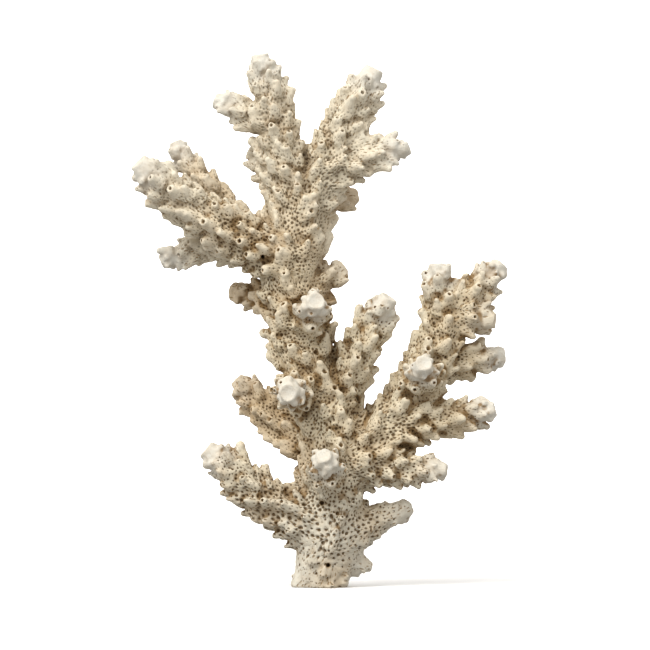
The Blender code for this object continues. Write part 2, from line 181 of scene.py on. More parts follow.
CAP_DEPTH = 0.3  # how far inside the surface a cap between two pieces has to lie

# Light
KEY_FROM = (-0.45, -0.62, 0.85)
KEY_STRENGTH = 2.95
KEY_SPREAD = math.radians(38)
SKY_BELOW = 0.38
SKY_ABOVE = 1.25

# The photograph's frame, the view of it and the stage, in metres
FRAME_WIDTH = 0.195
VIEW_CENTRE = (0.0015, 0.0786)  # X and Z
LENS = 300.0  # in millimetres
SENSOR = 36.0
CLIP_END = 20.0
FLOOR_RADIUS = 0.8
DOME_RADIUS = 6.0

# Centre lines from root to tip, as (x, y, z, core radius)
BRANCHES = {
    "trunk": [
        (1.0, 0, -3, 8.0), (1.2, 0, 3, 8.2), (1.6, 0, 9, 9.2), (2.6, 0, 17, 10.0), (3.4, 0, 26, 9.9),
        (4.0, 0, 35, 9.6), (4.2, 0, 43, 9.4), (3.2, 0, 50, 8.6), (1.4, 0, 56, 8.2), (-2.2, 0, 63, 8.3),
        (-4.6, 0, 70, 8.3), (-6.0, 0, 77, 8.3), (-7.4, 0, 84, 8.4), (-9.4, 0, 91, 8.7),
        (-9.8, 0, 98, 8.7), (-8.8, 0, 105, 8.4), (-7.4, 0, 111, 7.9), (-7.6, 0, 117, 7.3),
        (-9.4, -0.3, 123, 6.6), (-11.0, -0.7, 128, 6.1), (-12.2, -1, 133, 5.8), (-13.2, -1.2, 138, 5.4),
        (-14.6, -1.6, 144, 4.9), (-15.9, -2, 150, 4.4), (-16.9, -2.3, 154.6, 3.8),
        (-17.3, -2.5, 156.8, 3.4)],
    "right_arm": [
        (4.4, 0, 34, 8.8), (11.4, 0, 40.0, 8.6), (17.6, 0, 44.8, 7.2), (22.6, 0, 50.2, 6.4),
        (27.4, 0, 57.0, 6.1), (31.6, 0, 64.6, 5.9), (35.2, 0, 71.8, 5.7), (38.4, 0, 78.0, 5.4),
        (42.6, 0.4, 83.2, 4.8), (46.6, 1, 87.6, 4.4), (50.2, 1.5, 91.8, 4.0), (52.2, 2, 94.6, 3.6)],
    "lower_left_branch": [
        (3.0, 0, 16, 8.4), (-4.0, -0.5, 18.8, 7.8), (-9.5, -1, 21.8, 6.8), (-14.8, -2, 25.2, 6.0),
        (-20.0, -3, 28.9, 5.6), (-24.9, -3.5, 33.0, 5.2), (-28.9, -4, 37.0, 4.7), (-31.4, -4, 39.3, 4.0)],
    "lower_right_branch": [
        (4.0, 0, 13.8, 8.4), (9.5, 0.5, 16.9, 6.6), (14.0, 1, 18.9, 5.0), (18.5, 1.5, 20.6, 4.1),
        (23.0, 2, 22.2, 3.5), (25.2, 2.5, 23.1, 3.1)],
    "right_spur": [
        (4.2, 0, 36, 8.4), (10.0, -0.5, 36.8, 7.4), (16.0, -1.5, 36.6, 6.0), (22.0, -2.5, 36.2, 4.8),
        (28.0, -3.5, 35.5, 4.2), (33.0, -4.5, 35.2, 3.7), (35.8, -5, 35.2, 3.0)],
    "rear_left_branch": [
        (3.0, 2, 38, 7.4), (-3.0, 6.6, 42.0, 5.8), (-8.0, 10.0, 46.0, 4.8), (-13.0, 11.8, 50.4, 4.4),
        (-18.0, 12.4, 55.0, 4.0), (-21.8, 13.2, 58.4, 3.6), (-23.6, 13.6, 60.2, 3.2)],
    "mid_branchlet": [
        (0.0, 0, 50, 6.4), (4.0, -1, 56.5, 5.2), (7.4, -2, 62.2, 4.8), (9.8, -2.7, 67.0, 4.8),
        (12.4, -3.4, 72.6, 4.6), (15.2, -4, 78.1, 4.3), (17.6, -4.5, 82.2, 4.0), (18.9, -5, 84.4, 3.5)],
    "right_inner_tip": [
        (37.2, 0, 75.0, 5.0), (36.4, -0.6, 82.0, 4.1), (35.8, -1.2, 88.0, 3.6), (35.3, -1.6, 92.4, 3.2),
        (35.1, -1.8, 94.8, 2.8)],
    "right_upper_side_branch": [
        (32.0, 1, 67.0, 5.4), (38.0, 2.8, 67.8, 4.3), (43.0, 4.0, 68.2, 3.8), (48.0, 4.8, 68.6, 3.5),
        (53.2, 5.4, 69.0, 3.0)],
    "right_lower_side_branch": [
        (21.0, -0.5, 47.6, 6.4), (28.0, -1, 49.0, 5.0), (34.0, -1.6, 49.9, 4.2), (40.0, -2.1, 50.8, 3.7),
        (46.0, -2.6, 52.0, 3.4), (50.2, -3, 53.2, 3.0)],
    "left_front_branch": [
        (-8.0, -1, 98.0, 7.8), (-16.5, -2.5, 101.0, 6.7), (-24.0, -4.5, 104.6, 6.0),
        (-31.0, -6.5, 108.8, 5.6), (-38.0, -8.5, 113.6, 5.3), (-44.6, -10, 118.4, 4.9),
        (-49.8, -11.2, 122.6, 4.4), (-51.8, -11.7, 124.4, 3.9)],
    "left_rear_branch": [
        (-8.0, 2, 99.0, 6.4), (-14.4, 5.0, 102.4, 4.8), (-20.6, 7, 106.8, 4.0), (-26.8, 8.4, 111.9, 3.7),
        (-32.6, 9.2, 117.6, 3.5), (-37.6, 9.8, 123.6, 3.3), (-41.2, 10.2, 129.0, 3.1),
        (-42.8, 10.4, 132.2, 2.7)],
    "left_lower_branch": [
        (-16.0, 0, 101.0, 6.0), (-23.6, 2.4, 102.2, 4.7), (-30.6, 3.8, 102.4, 3.8),
        (-37.0, 4.4, 101.6, 3.3), (-42.6, 4.6, 99.6, 3.0), (-45.8, 4.8, 98.0, 2.7)],
    "top_side_branch": [
        (-14.2, -1, 139.2, 4.4), (-20.0, 0, 141.8, 3.8), (-25.0, 0.8, 143.7, 3.3), (-29.4, 1.4, 145.3, 2.9)],
    "upper_right_branch": [
        (-6.0, 0, 112, 7.2), (-1.0, -0.4, 119.6, 6.5), (3.0, -0.8, 128.0, 5.8), (6.2, -1.2, 135.6, 5.5),
        (9.4, -1.6, 142.0, 5.2), (12.2, -2, 147.0, 4.8), (14.0, -2.3, 150.6, 4.3), (14.8, -2.5, 152.4, 3.7)],
    "upper_right_side_branch": [
        (1.0, -1, 123.6, 5.4), (7.5, -2.6, 126.6, 4.6), (13.0, -3.8, 128.3, 4.0), (18.0, -4.6, 129.6, 3.5),
        (22.0, -5.1, 130.5, 3.1), (24.8, -5.5, 131.2, 2.7)],
    "foot_left_knob": [(-2.0, -1, 7, 5.0), (-5.6, -2, 1.5, 3.6)],
    "foot_right_knob": [(5.0, 0, 9, 5.5), (10.5, 1, 7.3, 3.8), (13.8, 1, 6.3, 2.8)],
    "low_front_stub": [(2.2, -4, 29, 5.4), (2.0, -12, 34, 4.4), (1.6, -18.5, 38.6, 3.5)],
    "low_rear_stub": [(4.0, 4, 22, 5.4), (5.0, 12, 27, 4.2), (5.5, 17, 31, 3.3)],
    "arm_rear_stub": [(6.5, 5, 33, 5.4), (8.5, 12, 37, 4.2), (9.5, 17, 40, 3.3)],
    "mid_front_stub": [(-6.0, -3, 58.4, 4.6), (-8.0, -11, 58.6, 4.0), (-8.8, -17, 58.7, 3.6)],
    "high_front_stub": [(-5.2, -3, 78.6, 5.0), (-3.2, -10, 82.0, 4.0), (-1.7, -15.5, 84.6, 3.5)],
    "trunk_right_stub": [(-3.0, 1, 88.4, 4.6), (2.4, 2, 92.0, 3.5), (5.6, 2.5, 94.7, 2.9)],
    "trunk_right_knob": [(-4.0, 3, 83.0, 4.0), (3.0, 5, 86.6, 2.2)],
    "trunk_left_rear_stub": [(-10.0, 3, 86.0, 4.8), (-18.0, 8, 87.8, 3.6), (-24.8, 10, 88.2, 2.9)],
    "mid_rear_stub": [(-2.0, 4, 66, 5.0), (-5.0, 12, 72, 4.1), (-6.6, 17, 76.5, 3.3)],
    "arm_front_stub": [(29.6, -3, 60.6, 4.6), (30.4, -10, 64.2, 3.9), (30.6, -14.5, 66.0, 3.2)],
    "arm_upper_rear_stub": [(31.0, 3, 66.0, 4.4), (32.0, 10, 71.0, 3.5), (32.4, 13.5, 74.0, 3.0)],
    "arm_right_stub": [(41.0, 0, 80.6, 4.6), (46.6, -1.5, 80.4, 3.6), (50.0, -2, 80.4, 3.1)],
    "fork_rear_stub": [(-6.0, 2, 114.0, 5.0), (2.0, 7, 116.0, 3.8), (8.4, 10.5, 117.0, 3.3)],
    "high_rear_stub": [(-8.0, 4, 100.0, 5.0), (-6.6, 12, 105.0, 3.9), (-5.8, 16.5, 108.6, 3.2)],
    "top_rear_stub": [(-10.0, 2.5, 121.0, 4.4), (-16.4, 6, 126.6, 3.3), (-19.6, 7.5, 130.4, 2.6)],
}

# Corallites much larger than the rest, as foot, lip and the two radii
FINGERS = [
    ((-23.4, -3.5, 33.0), (-23.9, -3.6, 43.6), 2.7, 1.9),
    ((-16.8, -2.0, 30.0), (-16.5, -2.0, 37.2), 2.2, 1.3),
    ((28.6, 0.0, 66.0), (29.3, 0.5, 76.6), 3.0, 1.9),
    ((0.0, 0.0, 107.0), (5.2, 1.5, 111.4), 2.6, 1.6),
    ((-0.5, 0.0, 101.0), (3.5, 1.0, 105.6), 2.6, 1.6),
    ((-9.0, 1.0, 75.0), (-17.8, 2.5, 76.4), 2.7, 1.9),
    ((-7.0, 1.0, 68.0), (-15.4, 3.0, 69.8), 2.6, 1.8),
    ((-2.6, -2.0, 71.0), (5.0, -3.0, 79.4), 2.8, 1.2),
    ((16.6, -3.6, 130.0), (17.4, -3.0, 135.6), 2.3, 1.5),
]

# A few borings in the front of the trunk, as the place in front of it where each starts and its
# radius, and how far towards the middle of the trunk they go
DEEP_HOLES = [
    ((0.6, -14.0, 25.5), 0.75),
    ((2.4, -14.0, 6.9), 0.75),
    ((-1.2, -14.0, 70.5), 0.7),
    ((-17.1, -14.0, 99.0), 0.65),
]
HOLE_END = 0.55
HOLE_TAPER = 0.8

# How white the end of a line is, where not fully
PALENESS = {
    "rear_left_branch": 0.4, "foot_left_knob": 0.3, "foot_right_knob": 0.3, "low_rear_stub": 0.5,
    "arm_rear_stub": 0.5, "trunk_right_stub": 0.4, "trunk_right_knob": 0.1, "trunk_left_rear_stub": 0.2,
    "mid_rear_stub": 0.5, "arm_upper_rear_stub": 0.4, "arm_right_stub": 0.5, "fork_rear_stub": 0.15,
    "high_rear_stub": 0.5, "top_rear_stub": 0.3, "lower_right_branch": 0.5, "right_spur": 0.8,
}

# Painted shade: how much darker a line is painted than the rest, for the ones that lie behind in shadow
SHADED_BEHIND = {
    "rear_left_branch": 0.75, "left_rear_branch": 0.5, "trunk_left_rear_stub": 0.8, "trunk_right_knob": 0.8,
    "fork_rear_stub": 0.8, "trunk_right_stub": 0.4, "arm_right_stub": 0.3,
}

# How much thicker the cores are, where a branch has next to no corallites
THICKER = {"lower_right_branch": 0.55}

# How large the corallites of a line are, where they are worn lower than elsewhere
NUB_SIZES = {"lower_right_branch": 0.42, "right_spur": 0.8, "foot_left_knob": 0.4, "foot_right_knob": 0.5}

SLOTS = {
    "coral_foot": ["base_trunk"],
    "coral_branch": ["mid_trunk", "upper_trunk", "mid_branchlet", "rear_left_branch",
                     "lower_left_branch", "lower_right_branch", "right_spur", "right_main_branch",
                     "right_lower_side_branch", "right_upper_side_branch"],
    "coral_tip": ["top_branch", "top_side_branch", "upper_right_branch", "upper_right_side_branch",
                  "left_front_branch", "left_rear_branch", "left_lower_branch", "right_inner_tip",
                  "right_outer_tip"],
}


def smooth_line(points):
    """(position, radius) every SAMPLE_STEP along a Catmull-Rom curve through the points."""
    ends = [points[0], *points, points[-1]]
    found = []
    for i in range(len(points) - 1):
        a, b, c, d = (Vector(p) for p in ends[i:i + 4])
        count = max(1, round((c - b).xyz.length / SAMPLE_STEP))
        for k in range(count):
            t = k / count
            found.append(0.5 * (2 * b + (c - a) * t + (2 * a - 5 * b + 4 * c - d) * t * t
                                + (3 * b - a - 3 * c + d) * t ** 3))
    found.append(Vector(points[-1]))
    return [(s.xyz, s.w) for s in found]


def along(line, distance):
    """(position, direction, radius) at this distance along a smooth line."""
    for (p, r), (q, s) in zip(line, line[1:]):
        step = (q - p).length
        if distance <= step:
            t = distance / step
            return p.lerp(q, t), (q - p).normalized(), r + (s - r) * t
        distance -= step
    return line[-1][0], (line[-1][0] - line[-2][0]).normalized(), line[-1][1]


def length_of(line):
    return sum((q[0] - p[0]).length for p, q in zip(line, line[1:]))


def gap_to(point, cores):
    """Distance from a point to the nearest surface of these cores, negative inside."""
    return min((point - position).length - radius for position, radius in cores)


def nub_scale(height, to_tip):
    """Corallites are small near a tip and worn low near the foot."""
    young = min(1.0, YOUNG_SIZE + (1 - YOUNG_SIZE) * (to_tip - BARE_TIP) / YOUNG)
    worn = min(1.0, WORN_SIZE + (1 - WORN_SIZE) * max(0.0, height) / WORN_HEIGHT)
    return young * worn


def nubs_on(line, others, own_size, rng):
    """Corallites in a golden-angle spiral up a branch, as (foot, lip, foot radius, lip radius)."""
    length = length_of(line)
    distance, turn = FIRST_NUB, rng.uniform(0, 2 * math.pi)
    while distance < length - BARE_TIP:
        centre, axis, radius = along(line, distance)
        side = Quaternion(axis, turn) @ axis.orthogonal().normalized()
        size = nub_scale(centre.z, length - distance) * rng.uniform(*SIZE_SPREAD) * own_size
        lean = NUB_LEAN * rng.uniform(*LEAN_SPREAD)
        heading = axis * math.cos(lean) + side * math.sin(lean)
        foot = centre + side * (radius - ROOT_DEPTH)
        lip = foot + heading * ((NUB_REACH * size + ROOT_DEPTH) / math.sin(lean))
        if gap_to(lip, others) > NUB_CLEARANCE:
            foot_radius = NUB_FOOT_RADIUS * (1 - FOOT_GROWTH + FOOT_GROWTH * size)
            lip_radius = NUB_LIP_RADIUS * (1 - LIP_GROWTH + LIP_GROWTH * size)
            start = foot + heading * ((ROOT_DEPTH - NUB_FOOT_DEPTH) / math.sin(lean))
            yield start - axis * NUB_FLANK * size, lip, foot_radius, lip_radius
        area = NUB_AREA_WIDE if radius > WIDE_RADIUS else NUB_AREA
        distance += area / (2 * math.pi * (radius + NUB_MID))
        turn += GOLDEN_ANGLE + rng.uniform(-TURN_SPREAD, TURN_SPREAD)


class Field:
    """Distances to a surface on a regular grid, negative inside."""

    def __init__(self, low, values):
        self.low = np.array(low, np.float32)
        self.values = values

    def near(self, low, high):
        """The part of the grid inside a box, and its coordinates."""
        first = np.maximum(np.floor((np.array(low) - self.low) / STEP).astype(int), 0)
        last = np.minimum(np.ceil((np.array(high) - self.low) / STEP).astype(int) + 1, self.values.shape)
        part = tuple(slice(a, b) for a, b in zip(first, last))
        axes = [self.low[k] + STEP * np.arange(first[k], last[k], dtype=np.float32) for k in range(3)]
        return part, np.meshgrid(*axes, indexing="ij", sparse=True)

    def around(self, a, b, reach):
        ends = np.array([a, b])
        return self.near(ends.min(0) - reach, ends.max(0) + reach)

    def at(self, points):
        """Distances at any points, by linear interpolation."""
        place = (points - self.low) / STEP
        limit = np.array(self.values.shape) - 2
        cell = np.clip(np.floor(place).astype(int), 0, limit)
        share = np.clip(place - cell, 0, 1)
        total = np.zeros(len(points))
        for corner in np.ndindex(2, 2, 2):
            weight = np.prod(np.where(corner, share, 1 - share), axis=1)
            total += weight * self.values[tuple((cell + corner).T)]
        return total


def empty_field():
    counts = np.ceil((np.array(GRID_HIGH) - GRID_LOW) / STEP).astype(int) + 1
    return Field(GRID_LOW, np.full(counts, FAR, np.float32))


def rod(axes, a, b, radius_a, radius_b):
    """Distance to a tapered rod with round ends."""
    span = np.array(b, float) - a
    x, y, z = (axes[k] - np.float32(a[k]) for k in range(3))
    t = np.clip((x * span[0] + y * span[1] + z * span[2]) / span.dot(span), 0, 1).astype(np.float32)
    gap = np.sqrt((x - t * span[0]) ** 2 + (y - t * span[1]) ** 2 + (z - t * span[2]) ** 2)
    return gap - (radius_a + t * (radius_b - radius_a))


def soft_min(a, b, blend):
    overlap = np.maximum(blend - np.abs(a - b), 0) / blend
    return np.minimum(a, b) - overlap * overlap * blend / 4


def add_core(field, line, trim):
    """A branch's core, thinner than the line by the trim, run softly into what is there already."""
    spots = np.array([p for p, _ in line])
    reach = max(r for _, r in line) + FAR
    part, axes = field.near(spots.min(0) - reach, spots.max(0) + reach)
    low = [axis.flat[0] for axis in axes]
    own = Field(low, np.full([axis.size for axis in axes], FAR, np.float32))
    for (p, r), (q, s) in zip(line, line[1:]):
        inner, close = own.around(p, q, max(r, s) + FAR)
        own.values[inner] = np.minimum(own.values[inner], rod(close, p, q, r - trim, s - trim))
    field.values[part] = soft_min(field.values[part], own.values, FORK_BLEND)


def add_rod(field, a, b, radius_a, radius_b, blend):
    part, axes = field.around(a, b, max(radius_a, radius_b) + blend + 2.0)
    field.values[part] = soft_min(field.values[part], rod(axes, a, b, radius_a, radius_b), blend)


def carve_rod(field, a, b, radius_a, radius_b, blend):
    part, axes = field.around(a, b, max(radius_a, radius_b) + blend + 1.0)
    field.values[part] = -soft_min(-field.values[part], rod(axes, a, b, radius_a, radius_b), blend)


def add_nub(field, foot, lip, foot_radius, lip_radius, openings):
    """One corallite with a rounded lip. Gives its opening to carve, if it has one."""
    heading = (lip - foot).normalized()
    is_open = openings.random() < OPEN_SHARE
    lip_radius *= OPEN_LIP if is_open else CLOSED_LIP
    end = lip - heading * lip_radius * LIP_ROUND
    add_rod(field, foot, end, foot_radius, lip_radius, NUB_BLEND)
    mouth = end + heading * lip_radius * CALICE_MOUTH
    hole = CALICE_RADIUS * lip_radius / NUB_LIP_RADIUS * openings.uniform(*CALICE_SPREAD)
    if not is_open:
        return []
    return [(mouth, lip - heading * CALICE_DEPTH, hole, hole * CALICE_TAPER, CALICE_BLEND)]


def crown(field, line, own_size, rng):
    """The end of a branch: a blunt corallite in a ring of young ones. Gives the hollows to carve."""
    tip, axis, radius = along(line, length_of(line))
    side = axis.orthogonal().normalized()
    turn = rng.uniform(0, 2 * math.pi)
    share = radius / USUAL_END
    lumps = max(RING_LEAST, round(2 * math.pi * radius / RING_PITCH))
    holes = []
    for k in range(lumps):
        angle = turn + 2 * math.pi * (k + rng.uniform(-RING_STRAY, RING_STRAY)) / lumps
        out = Quaternion(axis, angle) @ side
        foot = tip - axis * rng.uniform(*RING_FOOT_DEPTHS) + out * (radius * RING_FOOT_OUT)
        lip = tip + out * (radius - rng.uniform(*RING_LIP_INSETS))
        lip = lip + axis * (radius * rng.uniform(*RING_LIP_HEIGHTS))
        lump = RING_LUMP_RADIUS * min(1.0, share) * rng.uniform(*RING_LUMP_SPREAD) * own_size
        add_rod(field, foot, lip, lump * RING_LUMP_FOOT, lump, RING_BLEND)
        if rng.random() < RING_OPEN_SHARE:
            heading = (lip - foot).normalized()
            start, stop, wide, narrow = (lump * part for part in RING_OPENING)
            holes.append((lip + heading * start, lip + heading * stop, wide, narrow, CALICE_BLEND))
    top = tip + axis * (radius - END_TRIM)
    lean = side * rng.uniform(-END_LEAN, END_LEAN)
    end_radius = END_RADIUS * share * rng.uniform(*END_SPREAD) * math.sqrt(own_size)
    add_rod(field, tip, top + lean - axis * END_DEPTH, end_radius, end_radius * END_TAPER, END_BLEND)
    middle = top + axis * (DISH_CURVE - END_DISH) + lean * DISH_LEAN
    holes.append((middle, middle + axis, DISH_CURVE, DISH_CURVE, DISH_BLEND))
    return holes


def unevenness(shape, pitch, rng):
    """Smooth random numbers from -1 to 1 over the grid, which change over this many millimetres."""
    found = rng.uniform(-1, 1, [int(n * STEP / pitch) + 3 for n in shape]).astype(np.float32)
    for axis, count in enumerate(shape):
        place = np.arange(count) * STEP / pitch
        cell = place.astype(int)
        t = place - cell
        t = (t * t * (3 - 2 * t)).astype(np.float32).reshape([-1 if k == axis else 1 for k in range(3)])
        found = found.take(cell, axis) * (1 - t) + found.take(cell + 1, axis) * t
    return found


def build_fields(lines):
    """Distances to the bare cores, and to the whole skeleton with its corallites."""
    field = empty_field()
    for name, line in lines.items():
        add_core(field, line, CORE_TRIM - THICKER.get(name, 0.0))
    core = Field(GRID_LOW, field.values.copy())

    rng = random.Random(7)
    openings = random.Random(3)
    carved = []
    for name, line in lines.items():
        others = [sample for other in lines.values() if other is not line for sample in other]
        nubs = nubs_on(line, others, NUB_SIZES.get(name, 1.0), rng)
        for nub in nubs:
            carved.extend(add_nub(field, *nub, openings))
    for foot, lip, foot_radius, lip_radius in FINGERS:
        carved.extend(add_nub(field, Vector(foot), Vector(lip), foot_radius, lip_radius, openings))
    for name, line in lines.items():
        carved.extend(crown(field, line, NUB_SIZES.get(name, 1.0), rng))
    for spot, radius in DEEP_HOLES:
        a, b = Vector(spot), Vector((spot[0], 0, spot[2]))
        carved.append((a, a.lerp(b, HOLE_END), radius, radius * HOLE_TAPER, CALICE_BLEND))

    uneven = np.random.default_rng(5)
    for pitch, size in UNEVEN:
        field.values += size * unevenness(field.values.shape, pitch, uneven)
    for hollow_shade in carved:
        carve_rod(field, *hollow_shade)

    part, axes = field.near(GRID_LOW, GRID_HIGH)
    field.values[part] = np.maximum(field.values[part], -axes[2])
    return core, field


def net_of(field):
    """Corners and quads of the surface where the field is zero: one corner in each cell that it
    crosses, at the middle of its crossings with the cell's edges."""
    values = field.values
    inside = values < 0
    shape = np.array(values.shape) - 1
    some = np.zeros(shape, bool)
    every = np.ones(shape, bool)
    for i, j, k in np.ndindex(2, 2, 2):
        corner = inside[i:i + shape[0], j:j + shape[1], k:k + shape[2]]
        some |= corner
        every &= corner
    cells = np.argwhere(some & ~every)
    number = np.full(shape, -1, np.int32)
    number[tuple(cells.T)] = np.arange(len(cells))

    total = np.zeros((len(cells), 3))
    count = np.zeros((len(cells), 1))
    for a in np.ndindex(2, 2, 2):
        for axis in range(3):
            if a[axis] == 0:
                b = np.array(a)
                b[axis] = 1
                first = values[tuple((cells + a).T)]
                second = values[tuple((cells + b).T)]
                crossed = (first < 0) != (second < 0)
                t = np.where(crossed, first / np.where(crossed, first - second, 1), 0)
                spot = np.array(a, float) + t[:, None] * (b - a)
                total += np.where(crossed[:, None], spot, 0)
                count += crossed[:, None]
    corners = field.low + STEP * (cells + total / count)
    quads = [quads_across(inside, number, axis) for axis in range(3)]
    return corners, np.concatenate(quads)


def quads_across(inside, number, axis):
    """A quad for each grid edge along this axis that crosses the surface."""
    u, v = (axis + 1) % 3, (axis + 2) % 3
    low = [slice(None)] * 3
    high = [slice(None)] * 3
    low[axis], high[axis] = slice(0, -1), slice(1, None)
    edges = np.argwhere(inside[tuple(low)] != inside[tuple(high)])
    keep = (edges[:, u] > 0) & (edges[:, v] > 0)
    keep &= (edges[:, u] < number.shape[u]) & (edges[:, v] < number.shape[v])
    edges = edges[keep]
    around = []
    for du, dv in ((1, 1), (0, 1), (0, 0), (1, 0)):
        cell = edges.copy()
        cell[:, u] -= du
        cell[:, v] -= dv
        around.append(number[tuple(cell.T)])
    quads = np.stack(around, axis=1)
    outward = inside[tuple(edges.T)]
    quads[~outward] = quads[~outward][:, ::-1]
    return quads


def largest_part(quads, count):
    """The faces of the largest connected part, without loose crumbs."""
    label = np.arange(count)
    settled = False
    while not settled:
        before = label.copy()
        np.minimum.at(label, quads.ravel(), label[quads].min(axis=1).repeat(4))
        label = label[label]
        settled = np.array_equal(label, before)
    part = label[quads[:, 0]]
    return quads[part == np.bincount(part).argmax()]


def corner_normals(corners, quads):
    a, b, c, d = (corners[quads[:, k]] for k in range(4))
    area = np.cross(c - a, d - b)
    total = np.zeros_like(corners)
    for k in range(4):
        np.add.at(total, quads[:, k], area)
    return total / np.maximum(np.linalg.norm(total, axis=1, keepdims=True), 1e-9)


def tree_of(points):
    tree = KDTree(len(points))
    for i, point in enumerate(points):
        tree.insert(point, i)
    tree.balance()
    return tree


def steady(low, high, value):
    """0 below low, 1 above high, and a smooth rise between."""
    t = np.clip((value - low) / (high - low), 0, 1)
    return t * t * (3 - 2 * t)


def place_pores(places, spacing, allowed, rng):
    """Numbers of the places picked as pores, none closer to another than its own spacing."""
    tree = tree_of(places)
    free = allowed.copy()
    order = np.flatnonzero(allowed)
    rng.shuffle(order)
    picked = []
    for i in order:
        if free[i]:
            picked.append(i)
            for _, j, _ in tree.find_range(places[i], spacing[i]):
                free[j] = False
    return np.array(picked)


def sink_pores(corners, normals, places, rise, reach):
    """Pits in the skin between the corallites. Gives the pitted corners, and for each of them its
    distance to the nearest pore, counted in that pore's radii."""
    rng = np.random.default_rng(11)
    height = corners[:, 2]
    low_down = 1 - steady(*FOOT_HEIGHTS, height)
    spacing = PORE_SPACING + (PORE_SPACING_FOOT - PORE_SPACING) * low_down
    spacing += BARE_SPACING * (1 - steady(*BARE_FOOT, height))
    allowed = (reach > BARE_END) & (rise < BARE_RISE) & (height > BARE_CUT)
    picked = place_pores(places, spacing, allowed, rng)
    radii = PORE_RADIUS * rng.uniform(*PORE_SPREAD, len(picked))
    radii *= 1 + PORE_FOOT_GROWTH * low_down[picked]
    radii *= 1 - PORE_RISE_SHRINK * steady(*PORE_RISES, rise[picked])
    radii *= PORE_END_SIZE + (1 - PORE_END_SIZE) * steady(*PORE_REACHES, reach[picked])
    tree = tree_of(places[picked])
    found = [tree.find(place) for place in places]
    radius = radii[np.array([f[1] for f in found])]
    pore = np.array([f[2] for f in found]) / radius
    depth = PORE_DEPTH * (radius / PORE_RADIUS) * (1 - steady(*PORE_PROFILE, pore))
    corners = corners - normals * depth[:, None]
    corners[:, 2] = np.maximum(corners[:, 2], 0)
    return corners, pore


def nearest_on_lines(corners, lines):
    """For every corner, the nearest point on the centre lines."""
    spots = [p for line in lines.values() for p, _ in line]
    axes = [along(line, SAMPLE_STEP * i)[1] for line in lines.values() for i in range(len(line))]
    tree = tree_of(spots)
    nearest = np.array([tree.find(point)[1] for point in corners])
    spots, axes = np.array(spots)[nearest], np.array(axes)[nearest]
    return spots + ((corners - spots) * axes).sum(axis=1, keepdims=True) * axes


def shade_behind_of(corners, lines, rise):
    """How much painted shade each corner gets: fully on a line that lies behind in shadow, fading out into
    its neighbours.
    """
    stain_and_shade = np.zeros(len(corners))
    for name, share in SHADED_BEHIND.items():
        gap = np.min([np.linalg.norm(corners - p, axis=1) - r for p, r in lines[name]], axis=0)
        stain_and_shade = np.maximum(stain_and_shade, share * (1 - steady(*SHADE_BEHIND_REACH, gap - rise)))
    return stain_and_shade


def owners(corners, quads):
    """For every face, the number of the CAD node whose surface is nearest."""
    middles = corners[quads].mean(axis=1)
    best = np.full(len(middles), np.inf)
    owner = np.zeros(len(middles), int)
    for number, name in enumerate(sorted(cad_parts)):
        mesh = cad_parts[name].data
        tree = BVHTree.FromPolygons([v.co / MM for v in mesh.vertices], [p.vertices for p in mesh.polygons])
        low, high = (np.array(corner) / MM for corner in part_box(name))
        close = np.flatnonzero(((middles > low - FAR) & (middles < high + FAR)).all(axis=1))
        for i in close:
            gap = tree.find_nearest(middles[i])[3]
            if gap < best[i]:
                best[i] = gap
                owner[i] = number
    return owner


def rim_loops(quads):
    """Loops of the open edges of a set of faces."""
    starts = quads.ravel()
    ends = np.roll(quads, -1, axis=1).ravel()
    size = quads.max() + 1
    key = starts.astype(np.int64) * size + ends
    back = ends.astype(np.int64) * size + starts
    open_edges = ~np.isin(key, back)
    after = dict(zip(starts[open_edges].tolist(), ends[open_edges].tolist()))
    loops = []
    while after:
        first, current = after.popitem()
        loop = [first]
        while current != first and current in after:
            loop.append(current)
            current = after.pop(current)
        loops.append(loop)
    return loops


def caps_of(field, points, faces):
    """Triangles from each open rim to its middle, where they stay inside the skeleton."""
    caps = []
    middles = []
    for loop in rim_loops(faces):
        rim = points[loop]
        middle = rim.mean(axis=0)
        spokes = [field.at(rim + (middle - rim) * share) for share in (0.25, 0.5, 0.75, 1.0)]
        if np.max(spokes) < -CAP_DEPTH:
            number = len(points) + len(middles)
            middles.append(middle)
            caps.extend((loop[(k + 1) % len(loop)], loop[k], number) for k in range(len(loop)))
    return middles, caps


def add_mark(mesh, label, values):
    """A number, or three, kept at every corner of the mesh for the material to read."""
    wide = values.ndim == 2
    data = mesh.attributes.new(label, "FLOAT_VECTOR" if wide else "FLOAT", "POINT")
    filled = np.zeros((len(mesh.vertices), *values.shape[1:]), np.float32)
    filled[:len(values)] = values
    data.data.foreach_set("vector" if wide else "value", filled.ravel())


def make_piece(name, field, corners, normals, quads, marks, material):
    """One piece of the skeleton: its own faces, closed off inside where the next piece begins."""
    used, faces = np.unique(quads, return_inverse=True)
    faces = faces.reshape(-1, 4)
    points = corners[used]
    middles, caps = caps_of(field, points, faces)
    every = np.vstack([points, *middles]) * MM

    mesh = bpy.data.meshes.new(name)
    mesh.from_pydata(every, [], faces.tolist() + caps)
    mesh.validate()
    for label, values in marks.items():
        add_mark(mesh, label, values[used])
    mesh.shade_smooth()
    outward = np.zeros((len(every), 3), np.float32)
    outward[:len(used)] = normals[used]
    mesh.normals_split_custom_set_from_vertices(outward.tolist())
    mesh.materials.append(material)
    piece = bpy.data.objects.new(f"{name}_skeleton", mesh)
    bpy.context.scene.collection.objects.link(piece)
    return piece


